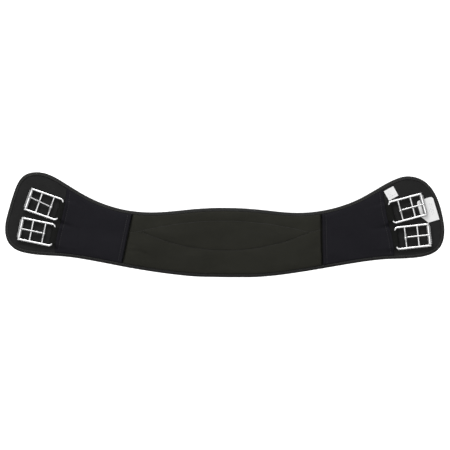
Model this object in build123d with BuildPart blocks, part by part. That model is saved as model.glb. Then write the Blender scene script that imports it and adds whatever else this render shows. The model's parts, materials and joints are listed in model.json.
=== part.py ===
"""Contoured dressage girth: a padded, crescent-shaped band with two roller buckles at each end.

The girth lies flat, contact side down, with its outer face up. X runs along its length, Y across
it and Z up. The origin is on the resting plane, under the centre of the whole outline. Soft layers
that run from end to end are cut at two flex lines, where the stitched ends of the side covers let
the girth bend round the horse's barrel. Sizes are in millimetres.
"""

import os
from math import asin, cos, radians, sin

from build123d import *

# ---- Driving dimensions -------------------------------------------------------------------------
HALF_LENGTH = 321.5  # centre of the girth to the tip of either end

LINER_TOP = 4.0  # contact liner, resting on the floor
CORE_TOP = 9.0  # faced foam core, the surface that the buckles lie on
PANEL_TOP = 13.0  # upper and lower centre panels
LENS_TOP = 13.6  # padded lens between them
COVER_TOP = 15.0  # side covers over the buckle straps

TAPE = 1.0  # edge binding, thickness of the tape
BINDING_WIDTH = 5.0  # edge binding, width seen from above
BINDING_TOP = CORE_TOP

FLEX_GAP = 0.3  # room between a wing and the centre at a flex line
FLEX_X = {"left": -138.0, "right": 141.5}  # where each flex line crosses the X axis
FLEX_LEAN = {"left": 0.20, "right": -0.03}  # its lean, millimetres of X for each one of Y

LENS_HALF = 123.5  # half the length of the lens
LENS_CORNER_Y = -9.5
LENS_HIGH_Y = 6.4
LENS_LOW_Y = -36.8
SEAM_GAP = 0.5  # room for the seam between neighbouring centre panels

WEB = 1.6  # thickness of the webbing
STRAP_WIDTH = 24.5
CENTRE_WEB_WIDTH = 50.0
CENTRE_WEB_Y = -21.0
LOOP_SLACK = 0.4  # play between the folded webbing and the buckle's bar
FOLD_RUN = 12.0  # length over which the upper leg of the fold comes down
FOLD_LEG = 36.0  # reach of the sewn-down upper leg, from the buckle's bar
STRAP_REACH = 150.0  # long enough to pass the flex line, which cuts it
STRAP_SEAM_Y = {"upper": -9.0, "lower": -35.0}  # where each strap meets the flex line

ROD = 1.8  # radius of the buckle's side rails and inner bar
RAIL_V = 15.7  # side rail to the buckle's centre line
CORNER = 4.0
PIVOT_U = 14.2  # inner bar to the bar that carries the tongue
MID_U = 32.7  # inner bar to the middle bar
AXLE_U = 48.7  # inner bar to the roller's axle
PIVOT_R = 1.5
COLLAR_R = 2.3  # cones that keep the tongue in the middle of its bar
COLLAR_LENGTH = 5.0
MID_DROP = 0.9  # the middle bar lies this much lower, out of the tongue's way
MID_R = 1.6  # at its middle
MID_END_R = 2.0  # beside the rails
MID_SHOULDER = 1.2  # its ends round off under the rails
AXLE_R = 1.6
LUG_R = 2.1
LUG_HALF = 1.95  # half the width of a rail's end, a little more than the rod
BUCKLE_Z = CORE_TOP + WEB + LOOP_SLACK + ROD  # height of the inner bar, the pivot and the axle

RUNNING_FIT = 0.06  # radial room between a bore and what turns in it
ROLLER_R = 3.3
ROLLER_LENGTH = 27.1
ROLLER_ROUND = 0.5

TONGUE_ROOT_R = 1.5
TONGUE_TIP_R = 1.15
TONGUE_LENGTH = 36.2  # pivot to the end of the tip
TONGUE_REST = 0.15  # room between the tongue and the roller
TONGUE_EYE_R = 3.2
TONGUE_EYE_ROUND = 0.8
TONGUE_EYE_WIDTH = 4.0

CARD = 0.3  # thickness of the card labels
SIZE_LABEL = 15.7
SIZE_LABEL_AT = (242.7, 48.5, 29.3)  # centre and turn, in degrees
SWING_TAG = (24.5, 35.0)
SWING_TAG_AT = (296.7, 24.2, 17.0)
SWING_TAG_CLIP = (8.0, 11.0)  # the corner cut off the tag
SWING_TAG_ROUND = 4.0

# Centre of each buckle's inner bar, and the way its roller end points, in degrees from +X.
BUCKLES = {
    "left_upper": (-240.6, 20.6, 161.1),
    "left_lower": (-250.3, -16.3, 168.6),
    "right_upper": (242.6, 20.1, 15.4),
    "right_lower": (249.9, -17.4, 6.9),
}
TONGUE_SKEW = {"left_upper": -6.0, "left_lower": 0.0, "right_upper": 0.0, "right_lower": 0.0}

# The outline's two halves, each from the middle of the upper edge round its end to the lower edge.
# X is measured outward from the middle.
OUTLINE = {
    "left": [
        (0, 25.8),
        (50, 23.2),
        (105, 18.4),
        (160, 24.9),
        (200, 40.1),
        (240, 63.6),
        (268, 75.4),
        (294.4, 70.7),
        (308.5, 46.9),
        (318.1, 14),
        (HALF_LENGTH, -9.1),
        (313.3, -31.8),
        (286, -43.6),
        (240, -47),
        (180, -55.6),
        (120, -66.3),
        (60, -73.9),
        (0, -76),
    ],
    "right": [
        (0, 25.8),
        (50, 23.6),
        (105, 19.3),
        (160, 26.6),
        (200, 42.1),
        (240, 65.2),
        (267, 73.9),
        (291.6, 66.8),
        (308.4, 46.7),
        (319, 14.2),
        (HALF_LENGTH, -9.1),
        (313.6, -32.1),
        (286.1, -44.4),
        (240, -47.7),
        (180, -55.6),
        (120, -66.2),
        (60, -74.5),
        (0, -76),
    ],
}
OUTLINE_STEPS = 48  # places along half the outline that an inset copy of it passes through
# Outer edge of the right side cover, from top to bottom, run past the girth at both ends.
COVER_EDGE = [(226, 90), (231.5, 50), (236, 17), (243, -10), (250, -60), (252, -90)]

os.makedirs("parts", exist_ok=True)


def write(part, name):
    """Labels a finished sub-part and writes its STEP file."""
    part.label = name
    export_step(part, f"parts/{name}.step")


# ---- Plan shapes --------------------------------------------------------------------------------
def girth_outline(inset):
    """The girth's plan, taken in by inset all round."""
    with BuildSketch() as plan:
        with BuildLine():
            for side, points in OUTLINE.items():
                way_out = -1 if side == "left" else 1
                with BuildLine(mode=Mode.PRIVATE):
                    rim = Spline(*points, tangents=[(1, 0), (-1, 0)])
                inner = []
                for step in range(OUTLINE_STEPS + 1):
                    place = rim.position_at(step / OUTLINE_STEPS)
                    way = rim.tangent_at(step / OUTLINE_STEPS)
                    inner.append((way_out * (place.X + way.Y * inset), place.Y - way.X * inset))
                Spline(*inner, tangents=[(way_out, 0), (-way_out, 0)])
        make_face()
    return plan.sketch


def flex_x(side, y, outward=0.0):
    """X of a flex line at y, moved outward towards that side's end."""
    away = -outward if side == "left" else outward
    return FLEX_X[side] + FLEX_LEAN[side] * y + away


def plan_region(corners):
    with BuildSketch() as region:
        with BuildLine():
            Polyline(*corners, close=True)
        make_face()
    return region.sketch


def wing_region(side):
    """Everything beyond one flex line."""
    far = -2 * HALF_LENGTH if side == "left" else 2 * HALF_LENGTH
    top, bottom = 100, -100
    near = [(flex_x(side, y, FLEX_GAP), y) for y in (top, bottom)]
    return plan_region([near[0], near[1], (far, bottom), (far, top)])


def centre_region(bottom=-100, top=100):
    """Everything between the flex lines, from bottom to top."""
    left = [(flex_x("left", y), y) for y in (top, bottom)]
    right = [(flex_x("right", y), y) for y in (bottom, top)]
    return plan_region(left + right)


def covered_region(side):
    """The part of a wing that its side cover hides, out to the cover's outer edge."""
    sign = -1 if side == "left" else 1
    edge = [(sign * x, y) for x, y in COVER_EDGE]
    with BuildSketch() as region:
        with BuildLine():
            Spline(*edge)
            Polyline(edge[-1], (0, edge[-1][1]), (0, edge[0][1]), edge[0])
        make_face()
        add(wing_region(side), mode=Mode.INTERSECT)
    return region.sketch


def lens_shape(grow=0.0):
    """The lens between the upper and lower seams of the centre."""
    left, right = (-LENS_HALF, LENS_CORNER_Y), (LENS_HALF, LENS_CORNER_Y)
    with BuildSketch() as lens:
        with BuildLine():
            ThreePointArc(left, (0, LENS_HIGH_Y), right)
            ThreePointArc(right, (0, LENS_LOW_Y), left)
        make_face()
        if grow:
            offset(amount=grow)
    return lens.sketch


FULL = girth_outline(0)
UNDER_TAPE = girth_outline(TAPE)
INSIDE_BINDING = girth_outline(BINDING_WIDTH)
REGIONS = {
    "left": wing_region("left"),
    "centre": centre_region(),
    "right": wing_region("right"),
}

# ---- Contact liner, foam core and edge binding --------------------------------------------------
for side, region in REGIONS.items():
    with BuildPart() as liner:
        with BuildSketch():
            add(INSIDE_BINDING)
            add(region, mode=Mode.INTERSECT)
        extrude(amount=LINER_TOP)
        with BuildSketch(Plane.XY.offset(TAPE)):
            add(UNDER_TAPE)
            add(region, mode=Mode.INTERSECT)
        extrude(amount=LINER_TOP - TAPE)
    write(liner.part, f"contact_liner_{side}")

    with BuildPart() as core:
        with BuildSketch(Plane.XY.offset(LINER_TOP)):
            add(INSIDE_BINDING)
            add(region, mode=Mode.INTERSECT)
        extrude(amount=CORE_TOP - LINER_TOP)
        with BuildSketch(Plane.XY.offset(LINER_TOP)):
            add(UNDER_TAPE)
            add(region, mode=Mode.INTERSECT)
        extrude(amount=BINDING_TOP - TAPE - LINER_TOP)
    write(core.part, f"foam_core_{side}")

    with BuildPart() as binding:
        with BuildSketch():
            add(FULL)
            add(INSIDE_BINDING, mode=Mode.SUBTRACT)
            add(region, mode=Mode.INTERSECT)
        extrude(amount=BINDING_TOP)
        with BuildSketch(Plane.XY.offset(TAPE)):
            add(UNDER_TAPE)
        extrude(amount=BINDING_TOP - 2 * TAPE, mode=Mode.SUBTRACT)
    write(binding.part, f"edge_binding_{side}")


# ---- Buckle straps and centre webbing -----------------------------------------------------------
def side_plane(name, across=0.0):
    """A buckle's side view: local X along the buckle, local Y up, origin in its inner bar."""
    x, y, angle = BUCKLES[name]
    along = Vector(cos(radians(angle)), sin(radians(angle)), 0)
    sideways = Vector(along.Y, -along.X, 0)
    origin = Vector(x, y, BUCKLE_Z) + sideways * across
    return Plane(origin=origin, x_dir=along, z_dir=sideways)


def flat_plane(name, height=0.0):
    """A buckle's top view: local X along the buckle, origin above its inner bar by height."""
    x, y, angle = BUCKLES[name]
    along = (cos(radians(angle)), sin(radians(angle)), 0)
    return Plane(origin=(x, y, BUCKLE_Z + height), x_dir=along, z_dir=(0, 0, 1))


def strap_part(name, solid_fold):
    """A buckle's webbing: folded round the bar, sewn down, then flat as far as the flex line."""
    side, level = name.split("_")
    inner = ROD + LOOP_SLACK
    outer = inner + WEB
    x, y, angle = BUCKLES[name]
    with BuildPart() as strap:
        with BuildSketch(side_plane(name)):
            with BuildLine():
                Polyline((0, outer), (-FOLD_RUN, WEB - inner), (-FOLD_LEG, WEB - inner))
                Polyline((-FOLD_LEG, WEB - inner), (-FOLD_LEG, -outer), (0, -outer))
                ThreePointArc((0, -outer), (outer, 0), (0, outer))
            make_face()
            if not solid_fold:
                with BuildLine():
                    Polyline((0, inner), (-FOLD_RUN, -inner), (0, -inner))
                    ThreePointArc((0, -inner), (inner, 0), (0, inner))
                make_face(mode=Mode.SUBTRACT)
        extrude(amount=STRAP_WIDTH / 2, both=True)
        # The flat run starts inside the sewn-down fold and aims at its place on the flex line.
        start = Vector(x, y) - Vector(cos(radians(angle)), sin(radians(angle))) * (FOLD_LEG - 6)
        seam_y = STRAP_SEAM_Y[level]
        aim = Vector(flex_x(side, seam_y), seam_y) - start
        run = Plane(origin=(start.X, start.Y, CORE_TOP), x_dir=(aim.X, aim.Y, 0), z_dir=(0, 0, 1))
        with BuildSketch(run):
            Rectangle(STRAP_REACH, STRAP_WIDTH, align=(Align.MIN, Align.CENTER))
        extrude(amount=WEB)
        with BuildSketch(Plane.XY.offset(CORE_TOP)):
            add(wing_region(side))
        extrude(amount=COVER_TOP, mode=Mode.INTERSECT)
    return strap.part


for name in BUCKLES:
    write(strap_part(name, solid_fold=False), f"{name}_strap")

with BuildPart() as centre_webbing:
    with BuildSketch(Plane.XY.offset(CORE_TOP)):
        with Locations((0, CENTRE_WEB_Y)):
            Rectangle(2 * HALF_LENGTH, CENTRE_WEB_WIDTH)
        add(REGIONS["centre"], mode=Mode.INTERSECT)
    extrude(amount=WEB)
write(centre_webbing.part, "centre_webbing")

# ---- Side covers --------------------------------------------------------------------------------
for side in ("left", "right"):
    with BuildPart() as cover:
        with BuildSketch(Plane.XY.offset(CORE_TOP)):
            add(INSIDE_BINDING)
            add(covered_region(side), mode=Mode.INTERSECT)
        extrude(amount=COVER_TOP - CORE_TOP)
        for level in ("upper", "lower"):
            add(strap_part(f"{side}_{level}", solid_fold=True), mode=Mode.SUBTRACT)
    write(cover.part, f"side_cover_{side}")

# ---- Quilted centre -----------------------------------------------------------------------------
PANELS = {
    "upper": (centre_region(bottom=LENS_CORNER_Y + SEAM_GAP / 2), PANEL_TOP),
    "lower": (centre_region(top=LENS_CORNER_Y - SEAM_GAP / 2), PANEL_TOP),
}
for level, (region, height) in PANELS.items():
    with BuildPart() as panel:
        with BuildSketch(Plane.XY.offset(CORE_TOP)):
            add(INSIDE_BINDING)
            add(region, mode=Mode.INTERSECT)
            add(lens_shape(grow=SEAM_GAP), mode=Mode.SUBTRACT)
        extrude(amount=height - CORE_TOP)
        add(centre_webbing.part, mode=Mode.SUBTRACT)
    write(panel.part, f"centre_panel_{level}")

with BuildPart() as lens_panel:
    with BuildSketch(Plane.XY.offset(CORE_TOP)):
        add(lens_shape())
    extrude(amount=LENS_TOP - CORE_TOP)
    add(centre_webbing.part, mode=Mode.SUBTRACT)
write(lens_panel.part, "centre_panel_lens")


# ---- Roller buckles -----------------------------------------------------------------------------
def cross_plane(name, u, height=0.0):
    """Looks along a buckle: local X across it, local Y up, origin u along it from the inner bar."""
    flat = flat_plane(name, height)
    return Plane(origin=flat.from_local_coords((u, 0, 0)), x_dir=flat.y_dir, z_dir=flat.x_dir)


def turned(plane, *profile):
    """A round piece, turned about the plane's X axis from points of (place on the axis, radius)."""
    with BuildPart() as piece:
        with BuildSketch(plane):
            with BuildLine():
                Polyline(*profile, close=True)
            make_face()
        revolve(axis=Axis(plane.origin, plane.x_dir))
    return piece.part


def frame_part(name):
    """Inner bar and rails bent from one rod, with the pivot bar, the middle bar and the axle."""
    flat = flat_plane(name)
    collar = TONGUE_EYE_WIDTH / 2 + 0.2
    with BuildPart() as frame:
        with BuildLine(flat):
            FilletPolyline(
                (AXLE_U, RAIL_V), (0, RAIL_V), (0, -RAIL_V), (AXLE_U, -RAIL_V), radius=CORNER
            )
        rail_end = flat.from_local_coords((AXLE_U, RAIL_V, 0))
        with BuildSketch(Plane(origin=rail_end, z_dir=-flat.x_dir)):
            Circle(ROD)
        sweep()
        for way in (-1, 1):
            add(
                turned(
                    cross_plane(name, PIVOT_U),
                    (0, 0),
                    (0, PIVOT_R),
                    (way * collar, PIVOT_R),
                    (way * collar, COLLAR_R),
                    (way * (collar + COLLAR_LENGTH), PIVOT_R),
                    (way * RAIL_V, PIVOT_R),
                    (way * RAIL_V, 0),
                )
            )
            inner = RAIL_V - LUG_HALF
            outer = RAIL_V + LUG_HALF
            add(
                turned(
                    cross_plane(name, AXLE_U),
                    (0, 0),
                    (0, AXLE_R),
                    (way * inner, AXLE_R),
                    (way * inner, LUG_R),
                    (way * (outer - 0.9), LUG_R),
                    (way * (outer - 0.3), LUG_R - 0.5),
                    (way * outer, LUG_R - 1.2),
                    (way * outer, 0),
                )
            )
        low = cross_plane(name, MID_U, -MID_DROP)
        with BuildSketch(low):
            with BuildLine():
                shoulder = RAIL_V - MID_SHOULDER
                tail_r = MID_END_R - MID_SHOULDER
                ThreePointArc((-shoulder, MID_END_R), (0, MID_R), (shoulder, MID_END_R))
                Polyline((shoulder, MID_END_R), (RAIL_V, tail_r), (RAIL_V, 0))
                Polyline((RAIL_V, 0), (-RAIL_V, 0), (-RAIL_V, tail_r), (-shoulder, MID_END_R))
            make_face()
        revolve(axis=Axis(low.origin, low.x_dir))
    return frame.part


def tongue_part(name):
    """A tapered rod with an eye round the pivot bar, whose tip lies on the roller."""
    rise = asin((ROLLER_R + TONGUE_TIP_R + TONGUE_REST) / (AXLE_U - PIVOT_U))
    across = cross_plane(name, PIVOT_U)
    ahead = flat_plane(name).rotated((0, 0, TONGUE_SKEW[name]))
    uphill = ahead.x_dir * cos(rise) + ahead.z_dir * sin(rise)
    shank = Plane(origin=across.origin, x_dir=uphill, z_dir=-ahead.y_dir)
    half = TONGUE_EYE_WIDTH / 2
    bore = PIVOT_R + RUNNING_FIT
    round_start = TONGUE_LENGTH - TONGUE_TIP_R
    with BuildPart() as tongue:
        with BuildSketch(shank):
            with BuildLine():
                Polyline((TONGUE_LENGTH, 0), (0, 0), (0, TONGUE_ROOT_R), (round_start, TONGUE_TIP_R))
                RadiusArc((round_start, TONGUE_TIP_R), (TONGUE_LENGTH, 0), TONGUE_TIP_R)
            make_face()
        revolve(axis=Axis(shank.origin, shank.x_dir))
        add(
            turned(
                across,
                (-half, 0),
                (-half, TONGUE_EYE_R - TONGUE_EYE_ROUND),
                (-half + TONGUE_EYE_ROUND, TONGUE_EYE_R),
                (half - TONGUE_EYE_ROUND, TONGUE_EYE_R),
                (half, TONGUE_EYE_R - TONGUE_EYE_ROUND),
                (half, 0),
            )
        )
        add(turned(across, (-half, 0), (-half, bore), (half, bore), (half, 0)), mode=Mode.SUBTRACT)
    return tongue.part


def roller_part(name):
    """A loose sleeve on the axle."""
    half = ROLLER_LENGTH / 2
    bore = AXLE_R + RUNNING_FIT
    return turned(
        cross_plane(name, AXLE_U),
        (-half, bore),
        (-half, ROLLER_R - ROLLER_ROUND),
        (-half + ROLLER_ROUND, ROLLER_R),
        (half - ROLLER_ROUND, ROLLER_R),
        (half, ROLLER_R - ROLLER_ROUND),
        (half, bore),
    )


for name in BUCKLES:
    write(frame_part(name), f"{name}_buckle_frame")
    write(tongue_part(name), f"{name}_buckle_tongue")
    write(roller_part(name), f"{name}_buckle_roller")


# ---- Card labels, lying on the right end --------------------------------------------------------
def label_plane(x, y, turn):
    across = (cos(radians(turn)), sin(radians(turn)), 0)
    return Plane(origin=(x, y, CORE_TOP), x_dir=across, z_dir=(0, 0, 1))


with BuildPart() as size_label:
    with BuildSketch(label_plane(*SIZE_LABEL_AT)):
        Rectangle(SIZE_LABEL, SIZE_LABEL)
    extrude(amount=CARD)
write(size_label.part, "size_label")

with BuildPart() as swing_tag:
    with BuildSketch(label_plane(*SWING_TAG_AT)):
        half_width, half_height = SWING_TAG[0] / 2, SWING_TAG[1] / 2
        clip_width, clip_height = SWING_TAG_CLIP
        with BuildLine():
            Polyline(
                (half_width, half_height),
                (-half_width, half_height),
                (-half_width, clip_height - half_height),
                (clip_width - half_width, -half_height),
                (half_width, -half_height),
                close=True,
            )
        make_face()
        fillet(vertices().group_by(Axis.Y)[-1], radius=SWING_TAG_ROUND)
    extrude(amount=CARD)
write(swing_tag.part, "swing_tag")
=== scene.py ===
"""Looks of the contoured dressage girth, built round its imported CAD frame.

Lengths inside the mesh code are in millimetres and turn into metres when a mesh is made. X runs along
the girth, Y across it and Z out of its outer face. Outlines, seams and buckles are read from the CAD.
"""

import json
import math

import bpy
import numpy as np
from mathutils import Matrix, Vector, noise
from mathutils.geometry import convex_hull_2d, delaunay_2d_cdt


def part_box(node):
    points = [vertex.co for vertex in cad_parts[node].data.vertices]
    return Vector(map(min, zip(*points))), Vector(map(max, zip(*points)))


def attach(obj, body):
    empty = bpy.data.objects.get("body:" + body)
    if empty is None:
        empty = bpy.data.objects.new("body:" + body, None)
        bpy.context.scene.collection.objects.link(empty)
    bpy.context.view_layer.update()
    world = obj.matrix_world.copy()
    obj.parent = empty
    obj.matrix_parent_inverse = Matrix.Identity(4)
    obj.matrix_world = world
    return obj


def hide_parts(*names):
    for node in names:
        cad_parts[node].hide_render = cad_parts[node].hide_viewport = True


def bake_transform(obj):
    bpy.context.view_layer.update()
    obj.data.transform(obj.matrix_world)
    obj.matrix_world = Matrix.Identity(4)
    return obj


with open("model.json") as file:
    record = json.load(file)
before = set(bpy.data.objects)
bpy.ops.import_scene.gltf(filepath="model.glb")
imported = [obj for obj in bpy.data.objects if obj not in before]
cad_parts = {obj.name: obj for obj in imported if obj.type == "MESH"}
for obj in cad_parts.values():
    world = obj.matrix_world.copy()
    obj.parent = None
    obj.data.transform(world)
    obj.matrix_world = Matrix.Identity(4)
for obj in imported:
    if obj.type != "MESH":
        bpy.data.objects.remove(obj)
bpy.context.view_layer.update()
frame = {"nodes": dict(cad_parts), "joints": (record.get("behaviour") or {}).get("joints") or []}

MM = 0.001
PLACES = ("left", "centre", "right")
SIDES = ("left", "right")
BUCKLES = ("left_upper", "left_lower", "right_upper", "right_lower")
JOINTS = {joint["name"]: joint for joint in frame["joints"]}


# ---- Reading the CAD --------------------------------------
def cad_mesh(node):
    """A node's vertices and triangles."""
    mesh = frame["nodes"][node].data
    mesh.calc_loop_triangles()
    vertices = np.array([v.co for v in mesh.vertices], float) / MM
    triangles = np.array([t.vertices for t in mesh.loop_triangles], int)
    return vertices, triangles


def cad_box(node):
    low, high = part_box(node)
    return np.array(low) / MM, np.array(high) / MM


def crossing(node, axis, value):
    """Lowest and highest place, along the other level axis, where a node meets a plane."""
    vertices, triangles = cad_mesh(node)
    other = 1 - axis
    starts = vertices[triangles].reshape(-1, 3)
    ends = vertices[np.roll(triangles, -1, axis=1)].reshape(-1, 3)
    gap = ends[:, axis] - starts[:, axis]
    crosses = (starts[:, axis] - value) * (ends[:, axis] - value) < 0
    starts, ends, gap = starts[crosses], ends[crosses], gap[crosses]
    share = (value - starts[:, axis]) / gap
    places = starts[:, other] + share * (ends[:, other] - starts[:, other])
    return places.min(), places.max()


def flex_line(side):
    """A point of a flex line, its level direction and the level way outward from it."""
    joint = JOINTS[f"{side}_flex"]
    point = np.array(joint["pos_m"][:2]) / MM
    run = np.array(joint["axis"][:2], float)
    out = np.array([run[1], -run[0]])
    return point, run, out


def beyond(side, points):
    """How far points lie outward of a flex line, negative on the centre's side."""
    point, _, out = flex_line(side)
    return (np.asarray(points)[..., :2] - point) @ out


def read_rim():
    """The girth's outline, as points in order, from the wall of the liner under the binding."""
    found = []
    for place in PLACES:
        vertices, triangles = cad_mesh(f"contact_liner_{place}")
        corners = vertices[triangles]
        normals = np.cross(corners[:, 1] - corners[:, 0], corners[:, 2] - corners[:, 0])
        level = np.abs(normals[:, 2]) < 0.1 * np.linalg.norm(normals, axis=1)
        high = corners[:, :, 2].mean(axis=1) > TAPE
        at_cut = [np.abs(beyond(side, corners)).max(axis=1) < 0.4 for side in SIDES]
        wall = level & high & ~at_cut[0] & ~at_cut[1]
        found.append(corners[wall].reshape(-1, 3)[:, :2])
    points = np.concatenate(found)
    left = np.ones(len(points), bool)
    here = int(points[:, 0].argmin())
    ordered = [points[here]]
    left[np.linalg.norm(points - points[here], axis=1) < 0.5] = False
    while left.any():
        gaps = np.linalg.norm(points - ordered[-1], axis=1)
        gaps[~left] = np.inf
        here = int(gaps.argmin())
        ordered.append(points[here])
        left[np.linalg.norm(points - points[here], axis=1) < 0.5] = False
    ordered = np.array(ordered)
    ahead = np.roll(ordered, -1, axis=0)
    area = (ordered[:, 0] * ahead[:, 1] - ahead[:, 0] * ordered[:, 1]).sum()
    return ordered if area > 0 else ordered[::-1]


def smooth_loop(points, pitch):
    """A closed curve through points, as even steps of about one pitch."""
    fine = []
    count = len(points)
    for i in range(count):
        p0, p1, p2, p3 = (points[(i + k) % count] for k in (-1, 0, 1, 2))
        k0, k1, k2 = (np.linalg.norm(b - a) ** 0.5 for a, b in ((p0, p1), (p1, p2), (p2, p3)))
        m1 = (p2 - p1) + k1 * ((p1 - p0) / k0 - (p2 - p0) / (k0 + k1))
        m2 = (p2 - p1) + k1 * ((p3 - p2) / k2 - (p3 - p1) / (k1 + k2))
        for t in np.linspace(0, 1, 12, endpoint=False):
            a, b = 2 * t**3 - 3 * t**2 + 1, t**3 - 2 * t**2 + t
            c, d = 3 * t**2 - 2 * t**3, t**3 - t**2
            fine.append(a * p1 + b * m1 + c * p2 + d * m2)
    return even_steps(np.array(fine), pitch, closed=True)


def even_steps(points, pitch, closed=False):
    """Points along a line at even steps of about one pitch."""
    points = np.asarray(points, float)
    if closed:
        points = np.vstack([points, points[:1]])
    lengths = np.linalg.norm(np.diff(points, axis=0), axis=1)
    along = np.concatenate([[0], np.cumsum(lengths)])
    steps = max(2, int(round(along[-1] / pitch)))
    wanted = np.linspace(0, along[-1], steps + 1)
    if closed:
        wanted = wanted[:-1]
    return np.stack([np.interp(wanted, along, points[:, k]) for k in range(points.shape[1])], axis=1)


def left_of(points, closed=False):
    """Unit level normals, to the left of the way a line runs."""
    if closed:
        run = np.roll(points, -1, axis=0) - np.roll(points, 1, axis=0)
    else:
        run = np.gradient(points, axis=0)
    run = run / np.linalg.norm(run, axis=1, keepdims=True)
    return np.stack([-run[:, 1], run[:, 0]], axis=1)


TAPE = cad_box("edge_binding_right")[1][0] - cad_box("contact_liner_right")[1][0]
UNDER_TAPE = smooth_loop(read_rim(), 1.0)
RIM = UNDER_TAPE - left_of(UNDER_TAPE, closed=True) * TAPE
RIM_IN = left_of(RIM, closed=True)
BINDING_WIDTH = 5.0
PAD_TOP = cad_box("foam_core_centre")[1][2]
LINER_TOP = cad_box("contact_liner_centre")[1][2]
INNER_RIM = RIM + RIM_IN * BINDING_WIDTH


# ---- Distances over the plan ------------------------------
def nearest(points, line):
    """The index of the nearest point of a line, for each point."""
    which = np.empty(len(points), int)
    for start in range(0, len(points), 4000):
        block = points[start : start + 4000]
        which[start : start + 4000] = ((block[:, None] - line[None]) ** 2).sum(-1).argmin(1)
    return which


def left_gap(points, line, normals):
    """How far points lie to the left of a line, negative on its right."""
    which = nearest(points, line)
    return ((points - line[which]) * normals[which]).sum(1)


def rim_gap(points):
    """How far points lie inside the girth's outline."""
    return left_gap(points, RIM, RIM_IN)


def smoothstep(t):
    t = np.clip(t, 0, 1)
    return t * t * (3 - 2 * t)


def roll(gap, radius):
    """Height, from 0 to 1, of an edge rounded to a quarter circle."""
    t = np.clip(gap / radius, 0, 1)
    return np.sqrt(1 - (1 - t) ** 2)


def rough(points, length_x, length_y, seed):
    """Smooth noise from about -0.5 to 0.5, with its own grain along X and Y."""
    return np.array([noise.noise((x / length_x, y / length_y, seed)) for x, y in points])


def cover_edge(side):
    """The outer edge of a side cover from top to bottom, run on a little at both ends."""
    vertices, _ = cad_mesh(f"side_cover_{side}")
    top = vertices[:, 1].max()
    bottom = vertices[np.abs(vertices[:, 0]).argmax(), 1]
    outer = 0 if side == "left" else 1
    heights = np.linspace(top - 0.6, bottom + 0.6, 30)
    edge = np.array([(crossing(f"side_cover_{side}", 1, y)[outer], y) for y in heights])
    run_on = 12.0
    head = edge[0] + (edge[0] - edge[3]) / np.linalg.norm(edge[0] - edge[3]) * run_on
    tail = edge[-1] + (edge[-1] - edge[-4]) / np.linalg.norm(edge[-1] - edge[-4]) * run_on
    return even_steps(np.vstack([head, edge, tail]), 1.0)


COVER_EDGE = {side: cover_edge(side) for side in SIDES}


def cover_gap(side, points):
    """How far points lie inboard of a side cover's outer edge."""
    edge = COVER_EDGE[side]
    gap = left_gap(points, edge, left_of(edge))
    return gap if side == "left" else -gap


def flex_chain(side):
    """A flex line as a line across the girth."""
    point, run, _ = flex_line(side)
    along = np.linspace(-90, 90, 181)[:, None]
    return point + run * along


# The lens between the two sewn arcs of the centre, and the seams from its corners outward.
LENS_LOW, LENS_HIGH = cad_box("centre_panel_lens")
LENS_MESH = cad_mesh("centre_panel_lens")[0]
LENS_CORNER = LENS_MESH[LENS_MESH[:, 0].argmax()][:2]
SEAM_END_RISE = {"left": -2.5, "right": 5.5}


def arc_through(corner, peak):
    """Centre height and radius of the circle through (+-corner x, corner y) and (0, peak)."""
    rise = peak - corner[1]
    radius = (corner[0] ** 2 + rise**2) / (2 * abs(rise))
    return peak - math.copysign(radius, rise), radius


ARCS = [arc_through(LENS_CORNER, peak) for peak in (LENS_HIGH[1], LENS_LOW[1])]


def lens_gap(points):
    """How far points lie inside the lens."""
    gaps = [radius - np.hypot(points[:, 0], points[:, 1] - height) for height, radius in ARCS]
    return np.minimum(*gaps)


def seam_height(x):
    """Y of the line that parts the upper from the lower panel."""
    corner_x, corner_y = LENS_CORNER
    reach = {side: abs(flex_line(side)[0][0]) + 3 for side in SIDES}
    places = [-reach["left"], -corner_x, corner_x, reach["right"]]
    heights = [corner_y + SEAM_END_RISE["left"], corner_y, corner_y, corner_y + SEAM_END_RISE["right"]]
    return np.interp(x, places, heights)


def seam_chains():
    """The two arcs, from left to right, and the two short seams outside them."""
    corner_x = LENS_CORNER[0]
    x = np.linspace(-corner_x, corner_x, 250)
    chains = []
    for (height, radius), sign in zip(ARCS, (1, -1)):
        chains.append(np.stack([x, height + sign * np.sqrt(radius**2 - x**2)], axis=1))
    for sign, side in ((-1, "left"), (1, "right")):
        x = sign * np.linspace(corner_x, abs(flex_line(side)[0][0]) + 8, 28)
        chains.append(np.stack([x, seam_height(x)], axis=1))
    return chains


SEAMS = seam_chains()


# ---- Regions: each gives the least distance inside its limits ----
def inside_binding(points):
    return rim_gap(points) - BINDING_WIDTH


def between_flex_lines(points):
    return np.minimum(-beyond("left", points), -beyond("right", points))


def parted(points, sign):
    """Distance above (sign 1) or below (-1) the seams that run out from the lens's corners."""
    gap = sign * (points[:, 1] - seam_height(points[:, 0]))
    beside_lens = (np.abs(points[:, 0]) < LENS_CORNER[0]) & (gap > 0)
    return np.where(beside_lens, gap + 100, gap)


def panel_region(sign):
    """The panel above (sign 1) or below (-1) the lens."""

    def gap(points):
        edges = [inside_binding(points), between_flex_lines(points)]
        return np.minimum.reduce([*edges, -lens_gap(points), parted(points, sign)])

    return gap


def cover_region(side):
    def gap(points):
        limits = [inside_binding(points), beyond(side, points), cover_gap(side, points)]
        return np.minimum.reduce(limits)

    return gap


def place_region(place, inset):
    """The centre or a wing, in from the rim."""

    def gap(points):
        across = between_flex_lines(points) if place == "centre" else beyond(place, points)
        return np.minimum(rim_gap(points) - inset, across)

    return gap


# ---- Meshes -----------------------------------------------
def add(name, data):
    """A new object in the scene."""
    made = bpy.data.objects.new(name, data)
    bpy.context.scene.collection.objects.link(made)
    return made


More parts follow.
